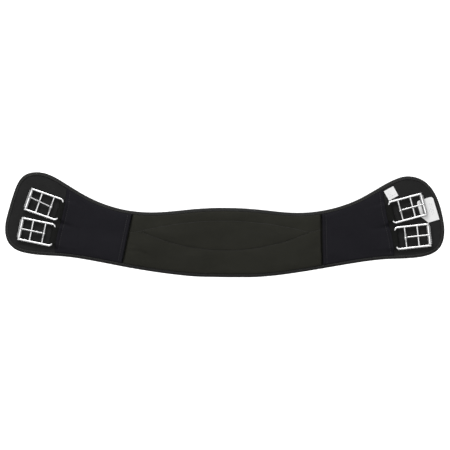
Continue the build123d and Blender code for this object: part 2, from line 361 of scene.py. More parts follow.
def make(name, vertices, faces, material, sharp_degrees=55):
    """A smooth-shaded mesh object from millimetres."""
    mesh = bpy.data.meshes.new(name)
    mesh.from_pydata((np.asarray(vertices, float) * MM).tolist(), [], [list(map(int, f)) for f in faces])
    mesh.validate()
    mesh.polygons.foreach_set("use_smooth", [True] * len(mesh.polygons))
    mesh.set_sharp_from_angle(angle=math.radians(sharp_degrees))
    piece = add(name, mesh)
    piece.data.materials.append(material)
    return piece


EDGE_ROWS = (0.35, 0.9, 1.7, 2.8)


def plan_triangles(region, chains, pitch):
    """Triangles over a region of the plan, closer together along its edges."""
    lines = [chain for chain in chains if len(chain) > 1]
    points, edges = [], []
    for line in lines:
        keep = region(line) > -6
        for i in range(len(line) - 1):
            if keep[i] and keep[i + 1]:
                edges.append((len(points), len(points) + 1))
                points += [line[i], line[i + 1]]
    kept = np.array(points)
    low, high = kept.min(0), kept.max(0)
    rows = int((high[1] - low[1]) / (pitch * 0.866)) + 1
    grid = []
    for row in range(rows):
        y = low[1] + row * pitch * 0.866
        x = np.arange(low[0] + (row % 2) * pitch / 2, high[0], pitch)
        grid.append(np.stack([x, np.full(len(x), y)], axis=1))
    grid = np.concatenate(grid)
    grid = grid[region(grid) > EDGE_ROWS[-1] + 0.5 * pitch]
    near_edge = []
    for line in lines:
        for row in EDGE_ROWS:
            for sign in (-1, 1):
                near_edge.append(line + sign * row * left_of(line))
    near_edge = np.concatenate(near_edge)
    gap = region(near_edge)
    fits = np.min([np.abs(gap - row) for row in EDGE_ROWS], axis=0) < 0.12
    near_edge = near_edge[fits & (gap > 0.2)]
    everything = [Vector(p) for p in np.concatenate([kept, near_edge, grid])]
    flat, _, faces, *_ = delaunay_2d_cdt(everything, edges, [], 0, 1e-3)
    flat = np.array([(v.x, v.y) for v in flat])
    faces = np.array([f for f in faces if len(f) == 3], int)
    faces = faces[region(flat[faces].mean(1)) > 0]
    used, faces = np.unique(faces, return_inverse=True)
    return flat[used], faces.reshape(-1, 3)


def open_edges(faces):
    """Edges with a triangle on one side only, in the way that triangle runs."""
    runs = np.concatenate([faces[:, [0, 1]], faces[:, [1, 2]], faces[:, [2, 0]]])
    both = {tuple(run) for run in runs.tolist()}
    return [run for run in runs.tolist() if (run[1], run[0]) not in both]


def slab(name, region, chains, pitch, top, bottom, material):
    """A closed soft piece over a region, from its bottom surface to its top surface."""
    flat, faces = plan_triangles(region, chains, pitch)
    gap = np.maximum(region(flat), 0)
    count = len(flat)
    high = top(flat, gap)
    low = bottom(flat, gap) if callable(bottom) else np.full(count, bottom)
    vertices = np.vstack([np.column_stack([flat, high]), np.column_stack([flat, low])])
    walls = []
    for a, b in open_edges(faces):
        walls += [(b, a, a + count), (b, a + count, b + count)]
    all_faces = faces.tolist() + (faces[:, ::-1] + count).tolist() + walls
    return make(name, vertices, all_faces, material)


def tube(first, rings, around):
    """Faces of a closed tube of rings of vertices, with flat ends."""
    faces = []
    for k in range(rings - 1):
        for j in range(around):
            a, b = first + k * around + j, first + k * around + (j + 1) % around
            faces.append((a, b, b + around, a + around))
    faces.append([first + j for j in range(around)][::-1])
    faces.append([first + (rings - 1) * around + j for j in range(around)])
    return faces


def soft(piece, place, *nodes):
    """Fixes a soft piece to the centre, or bakes a wing's piece in place with its transform applied to
    its mesh.
    """
    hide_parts(*nodes)
    if place == "centre":
        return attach(piece, "centre")
    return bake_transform(piece)


# ---- Materials --------------------------------------------
def new_material(name):
    material = bpy.data.materials.new(name)
    material.use_nodes = True
    tree = material.node_tree
    return material, tree, tree.nodes["Principled BSDF"]


def node(tree, kind, **values):
    """A shader node with its named inputs or settings filled in."""
    made = tree.nodes.new(kind)
    for key, value in values.items():
        if key in made.inputs:
            made.inputs[key].default_value = value
        else:
            setattr(made, key, value)
    return made


def coordinates(tree, scale, turn=(0, 0, 0)):
    """The object's own coordinates, scaled: scale 1000 gives millimetres."""
    source = tree.nodes.new("ShaderNodeTexCoord")
    mapping = node(tree, "ShaderNodeMapping", Scale=scale, Rotation=turn)
    tree.links.new(source.outputs["Object"], mapping.inputs["Vector"])
    return mapping.outputs["Vector"]


def mixed(tree, factor, low, high):
    """A colour between low and high."""
    mix = tree.nodes.new("ShaderNodeMix")
    mix.data_type = "RGBA"
    mix.inputs["A"].default_value = (*low, 1)
    mix.inputs["B"].default_value = (*high, 1)
    tree.links.new(factor, mix.inputs["Factor"])
    return mix.outputs["Result"]


def combined(tree, operation, a, b):
    made = node(tree, "ShaderNodeMath", operation=operation)
    tree.links.new(a, made.inputs[0])
    if isinstance(b, (int, float)):
        made.inputs[1].default_value = b
    else:
        tree.links.new(b, made.inputs[1])
    return made.outputs["Value"]


def plus(tree, base, extra, share):
    """A value with a share of another added."""
    return combined(tree, "ADD", base, combined(tree, "MULTIPLY", extra, share))


def noise_texture(tree, scale, detail, roughness, turn=(0, 0, 0)):
    """Noise over the object's own coordinates."""
    made = node(tree, "ShaderNodeTexNoise", Scale=1.0, Detail=detail, Roughness=roughness)
    tree.links.new(coordinates(tree, scale, turn), made.inputs["Vector"])
    return made


def bumped(tree, shader, height, strength, depth):
    """Relief from a height, with its depth in millimetres."""
    bump = node(tree, "ShaderNodeBump", Strength=strength, Distance=depth * MM)
    tree.links.new(height, bump.inputs["Height"])
    tree.links.new(bump.outputs["Normal"], shader.inputs["Normal"])


def knit(name, dark, light, rib, row, turn=0.0, relief=0.12, roughness=0.85, level=0.07):
    """A fine knit: ribs along one way, loops across them, and slow patches of tone."""
    material, tree, shader = new_material(name)
    turned = (0, 0, turn)
    ribs = node(tree, "ShaderNodeTexWave", bands_direction="X", Scale=math.pi / 10, Distortion=0.6)
    ribs.inputs["Detail Scale"].default_value = 0.6
    tree.links.new(coordinates(tree, (1000 / rib,) * 3, turned), ribs.inputs["Vector"])
    loops = node(tree, "ShaderNodeTexWave", bands_direction="Y", Scale=math.pi / 10, Distortion=1.2)
    loops.inputs["Detail Scale"].default_value = 0.8
    tree.links.new(coordinates(tree, (1000 / row,) * 3, turned), loops.inputs["Vector"])
    fuzz = noise_texture(tree, (1500, 1500, 1500), 3.0, 0.65)
    patches = noise_texture(tree, (28, 40, 40), 4.0, 0.55)
    weave = combined(tree, "MULTIPLY", ribs.outputs["Fac"], loops.outputs["Fac"])
    weave = plus(tree, weave, fuzz.outputs["Fac"], 0.45)
    tone = plus(tree, combined(tree, "MULTIPLY", weave, 0.35), patches.outputs["Fac"], 0.75)
    tree.links.new(mixed(tree, tone, dark, light), shader.inputs["Base Color"])
    bumped(tree, shader, weave, 0.55, relief)
    rough_range = node(tree, "ShaderNodeMapRange")
    rough_range.inputs["To Min"].default_value = roughness - 0.08
    rough_range.inputs["To Max"].default_value = roughness + 0.1
    tree.links.new(fuzz.outputs["Fac"], rough_range.inputs["Value"])
    tree.links.new(rough_range.outputs["Result"], shader.inputs["Roughness"])
    shader.inputs["Specular IOR Level"].default_value = level
    return material


def steel(name):
    """Polished stainless steel with fine drawn lines, smudges and small scuffs."""
    material, tree, shader = new_material(name)
    shader.inputs["Metallic"].default_value = 1.0
    lines = noise_texture(tree, (160, 2600, 2600), 4.0, 0.7, (0, 0, 0.2))
    smudge = noise_texture(tree, (260, 260, 260), 3.0, 0.6)
    scuffs = node(tree, "ShaderNodeTexVoronoi", feature="DISTANCE_TO_EDGE", Scale=1.0)
    tree.links.new(coordinates(tree, (420, 90, 300), (0.3, 0.2, 0.9)), scuffs.inputs["Vector"])
    scratch = node(tree, "ShaderNodeMapRange")
    scratch.inputs["From Max"].default_value = 0.02
    scratch.inputs["To Min"].default_value = 1.0
    scratch.inputs["To Max"].default_value = 0.0
    tree.links.new(scuffs.outputs["Distance"], scratch.inputs["Value"])
    tone = mixed(tree, smudge.outputs["Fac"], (0.45, 0.45, 0.455), (0.64, 0.64, 0.64))
    tree.links.new(tone, shader.inputs["Base Color"])
    blur = combined(tree, "MULTIPLY", lines.outputs["Fac"], 0.12)
    blur = plus(tree, blur, smudge.outputs["Fac"], 0.12)
    blur = plus(tree, blur, scratch.outputs["Result"], 0.06)
    blur = combined(tree, "ADD", blur, 0.07)
    tree.links.new(blur, shader.inputs["Roughness"])
    height = plus(tree, lines.outputs["Fac"], scratch.outputs["Result"], -0.4)
    bumped(tree, shader, height, 0.25, 0.015)
    return material


def card_material(name, label, rules, turn):
    """Coated card with a little fibre in it and faint grey rules in rows round a label's middle."""
    material, tree, shader = new_material(name)
    fibre = noise_texture(tree, (700, 350, 700), 5.0, 0.7)
    plain = mixed(tree, fibre.outputs["Fac"], (0.68, 0.68, 0.68), (0.75, 0.75, 0.75))
    source = tree.nodes.new("ShaderNodeTexCoord")
    low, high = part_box(label)
    place = (np.array(low) + np.array(high)) / 2
    turned = (0, 0, math.radians(turn))
    centred = node(tree, "ShaderNodeMapping", vector_type="TEXTURE", Location=place, Rotation=turned)
    centred.inputs["Scale"].default_value = (MM, MM, MM)
    tree.links.new(source.outputs["Object"], centred.inputs["Vector"])
    bricks = node(tree, "ShaderNodeTexBrick", Scale=1.0)
    rows = {"Brick Width": 4.2, "Row Height": 2.6, "Mortar Size": 0.85, "Mortar Smooth": 0.4}
    for key, value in rows.items():
        bricks.inputs[key].default_value = value
    bricks.inputs["Color1"].default_value = (0, 0, 0, 1)
    bricks.inputs["Color2"].default_value = (1, 1, 1, 1)
    bricks.inputs["Mortar"].default_value = (0, 0, 0, 1)
    tree.links.new(centred.outputs["Vector"], bricks.inputs["Vector"])
    half = node(tree, "ShaderNodeVectorMath", operation="ABSOLUTE")
    tree.links.new(centred.outputs["Vector"], half.inputs[0])
    split = tree.nodes.new("ShaderNodeSeparateXYZ")
    tree.links.new(half.outputs["Vector"], split.inputs[0])
    across = combined(tree, "LESS_THAN", split.outputs["X"], rules[0])
    down = combined(tree, "LESS_THAN", split.outputs["Y"], rules[1])
    area = combined(tree, "MULTIPLY", across, down)
    faint = combined(tree, "MULTIPLY", combined(tree, "MULTIPLY", bricks.outputs["Color"], area), 0.5)
    mix = tree.nodes.new("ShaderNodeMix")
    mix.data_type = "RGBA"
    tree.links.new(faint, mix.inputs["Factor"])
    tree.links.new(plain, mix.inputs["A"])
    mix.inputs["B"].default_value = (0.3, 0.31, 0.32, 1)
    tree.links.new(mix.outputs["Result"], shader.inputs["Base Color"])
    bumped(tree, shader, fibre.outputs["Fac"], 0.2, 0.03)
    shader.inputs["Roughness"].default_value = 0.45
    return material


CENTRE_FABRIC = knit(
    "centre_fabric", (0.0125, 0.0125, 0.0098), (0.024, 0.024, 0.0193), 0.55, 0.42, relief=0.1
)
COVER_FABRIC = knit(
    "side_cover_fabric", (0.0072, 0.0068, 0.0092), (0.0142, 0.0137, 0.0167), 0.6, 0.45, turn=0.25
)
PAD_FABRIC = knit(
    "pad_facing", (0.0108, 0.0108, 0.0108), (0.0212, 0.0212, 0.0212), 0.5, 0.4, relief=0.09
)
LINER = knit(
    "neoprene_liner", (0.008, 0.008, 0.0085), (0.014, 0.014, 0.0145), 1.3, 1.3, relief=0.16, roughness=0.7
)
BINDING = knit(
    "binding_tape", (0.0135, 0.0135, 0.0132), (0.0275, 0.0275, 0.0268), 0.45, 0.7, turn=0.5, relief=0.1
)
WEBBING = knit(
    "webbing", (0.004, 0.0041, 0.0038), (0.0095, 0.0098, 0.009), 0.8, 0.5, relief=0.12, level=0.12
)
THREAD = knit("thread", (0.03, 0.03, 0.0302), (0.055, 0.055, 0.0555), 0.3, 0.25, relief=0.05, level=0.2)
STEEL = steel("stainless_steel")
LABEL_CARD = card_material("label_card", "size_label", (5.2, 4.6), 29.3)
TAG_CARD = card_material("tag_card", "swing_tag", (8.5, 8.0), 107)

# ---- Camera, floor and light ------------------------------
VIEW_WIDTH = 0.65835  # metres across the picture at the girth's middle height
LENS = 200.0
SENSOR = 36.0
AIM = (0.00034, 0.00055, 0.005)
ROLL = math.radians(0.4156)


def make_camera():
    """Looks straight down on the girth, turned a little so that its right end is lower."""
    data = bpy.data.cameras.new("camera")
    data.lens = LENS
    data.sensor_width = SENSOR
    camera = add("camera", data)
    distance = VIEW_WIDTH * LENS / SENSOR
    camera.location = (AIM[0], AIM[1], AIM[2] + distance)
    camera.rotation_euler = (0, 0, ROLL)
    data.clip_end = 20
    bpy.context.scene.camera = camera


FLOOR_DROP = 0.18  # low enough to clear the ends when the wings bend down fully
FLOOR_HALF = 12.0  # metres, wide enough that its far edge stays out of low side views


def make_floor():
    material, tree, shader = new_material("floor")
    tone = node(tree, "ShaderNodeTexNoise", Scale=2.0, Detail=2.0)
    pale = mixed(tree, tone.outputs["Fac"], (0.86, 0.86, 0.86), (0.88, 0.88, 0.88))
    tree.links.new(pale, shader.inputs["Base Color"])
    shader.inputs["Roughness"].default_value = 1.0
    shader.inputs["Specular IOR Level"].default_value = 0.0
    shader.inputs["Emission Color"].default_value = (1, 1, 1, 1)
    shader.inputs["Emission Strength"].default_value = 0.6
    mesh = bpy.data.meshes.new("floor")
    signs = ((-1, -1), (1, -1), (1, 1), (-1, 1))
    corners = [(x * FLOOR_HALF, y * FLOOR_HALF, -FLOOR_DROP) for x, y in signs]
    mesh.from_pydata(corners, [], [(0, 1, 2, 3)])
    floor = add("floor", mesh)
    floor.data.materials.append(material)


def area_light(name, place, size, watts):
    """A soft light aimed at the girth's middle."""
    data = bpy.data.lights.new(name, "AREA")
    data.shape = "RECTANGLE"
    data.size, data.size_y = size
    data.energy = watts
    light = add(name, data)
    light.location = place
    light.rotation_euler = (Vector() - Vector(place)).to_track_quat("-Z", "Y").to_euler()


TENT_LOW = 0.16  # the tent's strength at the horizon
TENT_HIGH = 0.75  # and overhead
KEY_WATTS = 32
TOP_WATTS = 50


def make_light():
    world = bpy.data.worlds.new("studio")
    world.use_nodes = True
    tree = world.node_tree
    # A white tent: brighter overhead than at the horizon.
    source = tree.nodes.new("ShaderNodeTexCoord")
    split = tree.nodes.new("ShaderNodeSeparateXYZ")
    height = node(tree, "ShaderNodeMapRange")
    height.inputs["From Min"].default_value = 0.1
    height.inputs["To Min"].default_value = TENT_LOW
    height.inputs["To Max"].default_value = TENT_HIGH
    tree.links.new(source.outputs["Generated"], split.inputs[0])
    tree.links.new(split.outputs["Z"], height.inputs["Value"])
    tree.links.new(height.outputs["Result"], tree.nodes["Background"].inputs["Strength"])
    tree.nodes["Background"].inputs["Color"].default_value = (1, 1, 1, 1)
    bpy.context.scene.world = world
    area_light("key", (-0.35, 1.7, 1.25), (1.6, 0.7), KEY_WATTS)
    area_light("top", (0, 0, 4.3), (2.8, 2.8), TOP_WATTS)
    bpy.context.scene.view_settings.view_transform = "Standard"


make_camera()
make_floor()
make_light()


# ---- Edge binding -----------------------------------------
# The tape's section from its inner edge on the outer face, round the rim, to its inner edge below:
# distance in from the rim and height.
TAPE_OUTSIDE = [(5.15, 9.0), (4.95, 9.55), (4.3, 9.8), (3.3, 9.85), (2.3, 9.6), (1.3, 8.85), (0.55, 7.6),
                (0.12, 6.1), (0.0, 4.6), (0.1, 3.1), (0.5, 1.7), (1.2, 0.7), (2.2, 0.15), (3.4, 0.0),
                (4.5, 0.0), (5.1, 0.12)]
TAPE_INSIDE = [(5.1, 0.9), (4.0, 0.95), (2.4, 1.2), (1.5, 2.2), (1.0, 4.4), (1.5, 7.2), (2.6, 8.4),
               (4.2, 8.75), (5.0, 8.7)]
BINDING_STITCH_IN = 4.0  # the stitch row's distance in from the rim
STITCH_PITCH = 3.5
TAPE_STITCH = (STITCH_PITCH, 2.5)  # pitch and length of the thread dashes
COVER_STITCH = (3.2, 2.2)
QUILT_STITCH = (3.4, 2.1)


def rim_runs(place):
    """The stretches of the rim that belong to a place: points, inward normals, lengths along."""
    if place == "centre":
        inside = between_flex_lines(RIM) > 0
        cuts = np.minimum(-beyond("left", RIM), -beyond("right", RIM))
    else:
        inside = beyond(place, RIM) > 0
        cuts = beyond(place, RIM)
    count = len(RIM)
    starts = [i for i in range(count) if inside[i] and not inside[i - 1]]
    runs = []
    for start in starts:
        index = [start]
        while inside[(index[-1] + 1) % count]:
            index.append((index[-1] + 1) % count)
        points, normals = RIM[index], RIM_IN[index]
        for end, step in ((0, -1), (-1, 1)):
            here, there = index[end], (index[end] + step) % count
            share = cuts[here] / (cuts[here] - cuts[there])
            point = RIM[here] + share * (RIM[there] - RIM[here])
            normal = RIM_IN[here] + share * (RIM_IN[there] - RIM_IN[here])
            if end == 0:
                points, normals = np.vstack([point, points]), np.vstack([normal, normals])
            else:
                points, normals = np.vstack([points, point]), np.vstack([normals, normal])
        lengths = np.linalg.norm(np.diff(points, axis=0), axis=1)
        runs.append((points, normals, np.concatenate([[0], np.cumsum(lengths)])))
    return runs


def binding_pull(places, along):
    """How much the stitches and the bends gather the tape, in millimetres."""
    slow = rough(places, 17, 17, 3.1)
    fast = rough(places, 3.4, 3.4, 7.7)
    return 0.25 * slow + 0.36 * fast + 0.08 * np.cos(2 * math.pi * along / STITCH_PITCH)


def make_binding(place):
    vertices, faces = [], []
    section = np.array(TAPE_OUTSIDE + TAPE_INSIDE)
    outside = len(TAPE_OUTSIDE)
    for points, normals, along in rim_runs(place):
        fade = smoothstep(np.minimum(along, along[-1] - along) / 4)
        pull = binding_pull(points, along) * fade
        first = len(vertices)
        for k in range(len(points)):
            for j, (inset, height) in enumerate(section):
                puff = pull[k] if j < outside else 0
                lift = puff * math.sin(math.pi * min(inset, 5) / 5) if height > 4.6 else 0
                inward = inset + max(0, puff) * 0.5
                x, y = points[k] + normals[k] * inward
                vertices.append((x, y, height + lift))
        faces += tube(first, len(points), len(section))
    return make(f"binding_{place}", vertices, faces, BINDING)


for place in PLACES:
    binding = make_binding(place)
    soft(binding, place, f"edge_binding_{place}")


# ---- Liner and faced foam core ----------------------------
def closed(line):
    return np.vstack([line, line[:1]])


def flex_chains(place):
    return [flex_chain(side) for side in (SIDES if place == "centre" else (place,))]


LINER_INSET = 4.6  # the liner's edge lies this far in from the rim, inside the tape
LINER_PITCH = 5.0
LAYER_GAP = 0.05  # keeps touching layers apart
for place in PLACES:
    liner = slab(
        f"liner_{place}",
        place_region(place, LINER_INSET),
        [closed(RIM + RIM_IN * LINER_INSET), *flex_chains(place)],
        LINER_PITCH,
        lambda flat, gap: np.full(len(flat), LINER_TOP - LAYER_GAP),
        lambda flat, gap: 0.35 * (1 - roll(rim_gap(flat) - LINER_INSET, 1.5)),
        LINER,
    )
    soft(liner, place, f"contact_liner_{place}")


SEAM_WELL = 6.8  # height of the bottom of the crease at a flex seam


def flex_gap(flat):
    """Distance from the nearer flex line."""
    return np.minimum(np.abs(beyond("left", flat)), np.abs(beyond("right", flat)))


def in_well(flat, surface, width, floor=SEAM_WELL):
    """Brings a surface down into the crease along the flex seams."""
    share = smoothstep(flex_gap(flat) / (width * (1 + 0.3 * rough(flat, 9, 9, 4.4))))
    return floor + (surface - floor) * share


def pad_top(flat, gap):
    """The facing dips into the stitched groove inside the binding and lies nearly flat elsewhere."""
    inward = rim_gap(flat) - BINDING_WIDTH
    dip = 0.45 * (1 - roll(inward, 3.2))
    dip = dip - 0.7 * rough(flat, 4.6, 9, 5.5) * np.exp(-((inward - 3) ** 2) / 40)
    wave = 0.2 * (1 + rough(flat, 38, 30, 1.7)) + 0.14 * (1 + rough(flat, 9, 7, 6.1))
    surface = PAD_TOP + LAYER_GAP - dip - wave * smoothstep(inward / 12)
    return in_well(flat, surface, 4.0, SEAM_WELL - 0.5)


PAD_INSET = 4.4
PAD_PITCH = 3.0
for place in PLACES:
    pad = slab(
        f"pad_{place}",
        place_region(place, PAD_INSET),
        [closed(RIM + RIM_IN * PAD_INSET), *flex_chains(place)],
        PAD_PITCH,
        pad_top,
        LINER_TOP,
        PAD_FABRIC,
    )
    soft(pad, place, f"foam_core_{place}")


# ---- Quilted centre ---------------------------------------
# Small pulls near the lens's left corner, as short lines with a depth and a width. Their points are
# shares of the lens's half length and half width from its middle.
CREASES = [
    ([(-1.1417, -1.0556), (-1.004, -1.0787), (-0.8826, -1.4028)], 0.8, 2.6),
    ([(-1.1174, -0.6852), (-1.0283, -0.7083)], 0.5, 2.2),
    ([(-0.9555, 0.1019), (-1.085, -0.0833)], 0.7, 3.5),
]


def lens_place(along, across):
    """The place of a point given as shares of the lens's half length and half width."""
    middle, half = (LENS_HIGH[1] + LENS_LOW[1]) / 2, (LENS_HIGH[1] - LENS_LOW[1]) / 2
    return np.array([along * LENS_HIGH[0], middle + across * half])


def creases(flat):
    """How deep the pulls are at each point."""
    depth = np.zeros(len(flat))
    for line, deep, wide in CREASES:
        fine = even_steps([lens_place(*share) for share in line], 0.5)
        which = nearest(flat, fine)
        away = np.linalg.norm(flat - fine[which], axis=1)
        share = which / (len(fine) - 1)
        taper = np.sin(math.pi * np.clip(share * 0.9 + 0.1, 0, 1)) ** 0.5
        depth += deep * taper * np.exp(-((away / wide) ** 2))
    return depth


def seam_pinch(flat):
    """How hard the quilting is drawn down at each point of a lens seam, from 0 to 1."""
    arcs = [np.min(np.linalg.norm(flat[:, None] - seam[None, ::3], axis=2), axis=1) for seam in SEAMS]
    strength = np.array([0.4, 0.8, 0.55, 0.55])[np.argmin(arcs, axis=0)]
    return strength * (0.62 + 0.55 * rough(flat, 15, 40, 2.9))


# Slow swells of the quilting: place along and across the lens as shares of its size, reach in
# millimetres both ways, and height.
SWELLS = [
    ((-0.90, -0.75), (20, 13), 1.6),
    ((-0.68, 0.05), (22, 9), 0.7),
    ((0.72, 0.05), (24, 9), 0.7),
    ((0.93, -0.55), (17, 14), 1.2),
    ((0.70, -1.35), (9, 16), 0.5),
    ((-0.62, 1.15), (34, 9), -0.7),
    ((0.0, -0.4), (60, 12), -0.35),
]


def swells(flat):
    height = np.zeros(len(flat))
    for (along, across), (wide, deep), lift in SWELLS:
        offset = (flat - lens_place(along, across)) / np.array([wide, deep])
        height += lift * np.exp(-(offset**2).sum(axis=1))
    return height


SEAM_VALLEY = 1.9  # depth of the soft valley along a lens seam
NOTCH = 1.5  # depth of the sharp notch at its stitches


def puffed(crown, seed):
    """A quilted panel: soft valleys at its seams, a crown, slow swells and puckers."""

    def top(flat, gap):
        edge = np.minimum(rim_gap(flat) - BINDING_WIDTH, 30)
        gaps = [np.linalg.norm(flat[:, None] - line[None, ::2], axis=2).min(axis=1) for line in SEAMS]
        seam = np.min(gaps, axis=0)
        pinch = seam_pinch(flat)
        body = PAD_TOP + 0.7 + 1.2 * roll(edge, 2.6) + 1.9 * (1 - np.exp(-edge / 9))
        body += crown * (1 - np.exp(-seam / 11))
        valley = pinch * (SEAM_VALLEY * np.exp(-seam / 4.5) + NOTCH * np.exp(-((seam / 0.7) ** 2)))
        slow = swells(flat) + 0.75 * rough(flat, 46, 24, seed) + 0.4 * rough(flat, 17, 13, seed + 5)
        pucker = 0.6 * rough(flat, 4.4, 15, seed + 9) * np.exp(-((edge - 2.5) ** 2) / 18)
        pucker += 0.5 * pinch * rough(flat, 5.5, 14, 15.0) * np.exp(-seam / 6)
        surface = body - valley + slow * smoothstep(edge / 9) + pucker - creases(flat)
        return in_well(flat, surface, 2.5)

    return top


def panel_bottom(flat, gap):
    return in_well(flat, np.full(len(flat), PAD_TOP - 0.9), 2.5, SEAM_WELL - 0.9)


PANEL_PITCH = 1.8
rim_chain = closed(INNER_RIM)
centre_flex = flex_chains("centre")
panels = [
    ("centre_upper", panel_region(1), [rim_chain, *centre_flex, SEAMS[0], *SEAMS[2:]], 0.5),
    ("centre_lens", lens_gap, SEAMS[:2], 0.9),
    ("centre_lower", panel_region(-1), [rim_chain, *centre_flex, SEAMS[1], *SEAMS[2:]], 0.7),
]
stands_for = {
    "centre_upper": ["centre_panel_upper"],
    "centre_lens": ["centre_panel_lens", "centre_webbing"],
    "centre_lower": ["centre_panel_lower"],
}
for name, region, chains, crown in panels:
    panel = slab(name, region, chains, PANEL_PITCH, puffed(crown, 12.0), panel_bottom, CENTRE_FABRIC)
    soft(panel, "centre", *stands_for[name])


# ---- Buckle places ----------------------------------------
def buckle_axes(name):
    """The inner bar's middle, the level way along the buckle and the level way to its left."""
    joint = JOINTS[f"{name}_lift"]
    bar = np.array(joint["pos_m"]) / MM
    across = np.array(joint["axis"][:2], float)
    along = np.array([-across[1], across[0]])
    return bar, along, -across


WEB = 1.6  # thickness of the webbing
STRAP_HALF = 12.25  # half its width
FOLD_REACH = 36.0  # how far the folded end reaches back from the inner bar
FOLD_DROP = 13.0  # length over which the fold's upper leg comes down
BAR_HEIGHT = JOINTS["right_lower_lift"]["pos_m"][2] / MM
LOOP_OUTER = 3.8  # the fold's outer radius round the bar
LOOP_TOP = BAR_HEIGHT + LOOP_OUTER


def strap_height(u):
    """Top of a buckle's folded webbing above the pad; u is the place along the buckle."""
    doubled = 2 * WEB
    bar_top = LOOP_TOP - PAD_TOP
    rise = doubled + (bar_top - doubled) * smoothstep((u + FOLD_DROP) / FOLD_DROP)
    return np.where(u > -FOLD_DROP, rise, np.where(u > -FOLD_REACH, doubled, WEB))



# ---- Side covers ------------------------------------------
def strap_bands(side, flat, margin):
    """How fully each point lies over a strap, and the strap's height there."""
    band = np.zeros(len(flat))
    height = np.zeros(len(flat))
    for level in ("upper", "lower"):
        bar, along, left = buckle_axes(f"{side}_{level}")
        offset = flat - bar[:2]
        u, v = offset @ along, offset @ left
        over = smoothstep((STRAP_HALF + margin - np.abs(v)) / margin)
        height = np.where(over > band, strap_height(u), height)
        band = np.maximum(band, over)
    return band, height


COVER_PITCH = 1.6
COVER_STITCH_IN = 5.5  # the stitch row in from a cover's outer edge
FLEX_STITCH_OUT = 6.5  # and the one out from the flex seam


def cover_bottom(side):
    def bottom(flat, gap):
        band, height = strap_bands(side, flat, 2.5)
        return in_well(flat, PAD_TOP - 0.4 + band * (height + 0.55), 1.2, SEAM_WELL - 0.4)

    return bottom


def cover_top(side):
    def top(flat, gap):
        outer, seam = cover_gap(side, flat), beyond(side, flat)
        band, height = strap_bands(side, flat, 6.0)
        mouth = np.exp(-np.maximum(outer - 3, 0) / 11)
        body = PAD_TOP + 0.55 + 1.25 * roll(gap, 2.0) + 2.3 * (1 - np.exp(-gap / 9))
        ridge = 1.6 * np.exp(-(((seam - 2.4) / 2.1) ** 2))
        rows = np.exp(-(((outer - COVER_STITCH_IN) / 1.3) ** 2))
        rows = rows + np.exp(-(((seam - FLEX_STITCH_OUT) / 1.5) ** 2))
        inward = rim_gap(flat) - BINDING_WIDTH
        rows = rows * smoothstep(inward / 5)
        swell = 0.7 * rough(flat, 34, 26, 21.0 if side == "left" else 44.0)
        pucker = 0.5 * rough(flat, 14, 4.4, 8.8) * np.exp(-np.minimum(outer, seam) / 7)
        pucker += 0.45 * rough(flat, 4.6, 9, 5.5) * np.exp(-inward / 5)
        slow = (swell + pucker) * smoothstep(gap / 4)
        surface = body + ridge + band * height * mouth + slow - 0.95 * rows
        lowest = cover_bottom(side)(flat, gap)
        return in_well(flat, np.maximum(surface, lowest + 0.7), 1.3)

    return top


cover_tops = {side: cover_top(side) for side in SIDES}
for side in SIDES:
    cover = slab(
        f"side_cover_{side}_fabric",
        cover_region(side),
        [rim_chain, flex_chain(side), COVER_EDGE[side]],
        COVER_PITCH,
        cover_tops[side],
        cover_bottom(side),
        COVER_FABRIC,
    )
    soft(cover, side, f"side_cover_{side}")


# ---- Webbing straps ---------------------------------------
RIB_PITCH = 1.25  # across the webbing, from rib to rib
RIB_HEIGHT = 0.11
STRAP_CUT = 0.2  # how far outward of the flex line a strap ends


def strap_line(reach):
    """A strap's middle line seen from its side: place along the buckle and height from the bar."""
    turn = LOOP_OUTER - WEB / 2
    lying = -(BAR_HEIGHT - PAD_TOP) + WEB * 1.5
    points = [(-FOLD_REACH + step, lying) for step in np.arange(0, FOLD_REACH - FOLD_DROP, 1.5)]
    for share in np.linspace(0, 1, 12):
        points.append((-FOLD_DROP * (1 - share), lying + (turn - lying) * smoothstep(share)))
    for angle in np.linspace(80, -80, 15):
        points.append((turn * math.cos(math.radians(angle)), turn * math.sin(math.radians(angle))))
    points += [(-step, -turn) for step in np.arange(0, reach, 1.5)]
    return np.array(points)


def make_strap(name):
    side = name.split("_")[0]
    bar, along, left = buckle_axes(name)
    line = strap_line(1.25 * beyond(side, bar[None, :2])[0])
    outward = left_of(line)
    across = np.arange(-STRAP_HALF, STRAP_HALF + 0.01, RIB_PITCH / 4)
    edge = np.clip((STRAP_HALF - np.abs(across)) / (WEB / 2), 0, 1)
    ribs = 1 + RIB_HEIGHT * 2 / WEB * np.cos(2 * math.pi * across / RIB_PITCH)
    half = WEB / 2 * np.sqrt(1 - (1 - edge) ** 2) * ribs
    profile = list(zip(across, half)) + list(zip(across[-2:0:-1], -half[-2:0:-1]))
    vertices = []
    for k, ((u, w), out) in enumerate(zip(line, outward)):
        for v, h in profile:
            pick = 0.05 * math.sin(2 * math.pi * (k * 1.5 / 1.9 + v / RIB_PITCH / 2))
            pu, pw = u + out[0] * h * (1 + pick), w + out[1] * h * (1 + pick)
            x, y = bar[:2] + along * pu + left * v
            vertices.append((x, y, bar[2] + pw))
    flat = np.array([vertex[:2] for vertex in vertices])
    past = beyond(side, flat)
    out_way = flex_line(side)[2]
    for i in np.nonzero(past < STRAP_CUT)[0]:
        # Cut at the flex line, along the strap.
        step = (STRAP_CUT - past[i]) / max(1e-6, float(along @ out_way))
        x, y = flat[i] + along * step
        vertices[i] = (x, y, vertices[i][2])
    around = len(profile)
    last = len(line) - 1
    while last > 1 and (past[(last - 1) * around : last * around] < STRAP_CUT).all():
        last -= 1
    vertices = vertices[: (last + 1) * around]
    return make(f"{name}_webbing", vertices, tube(0, last + 1, around), WEBBING)


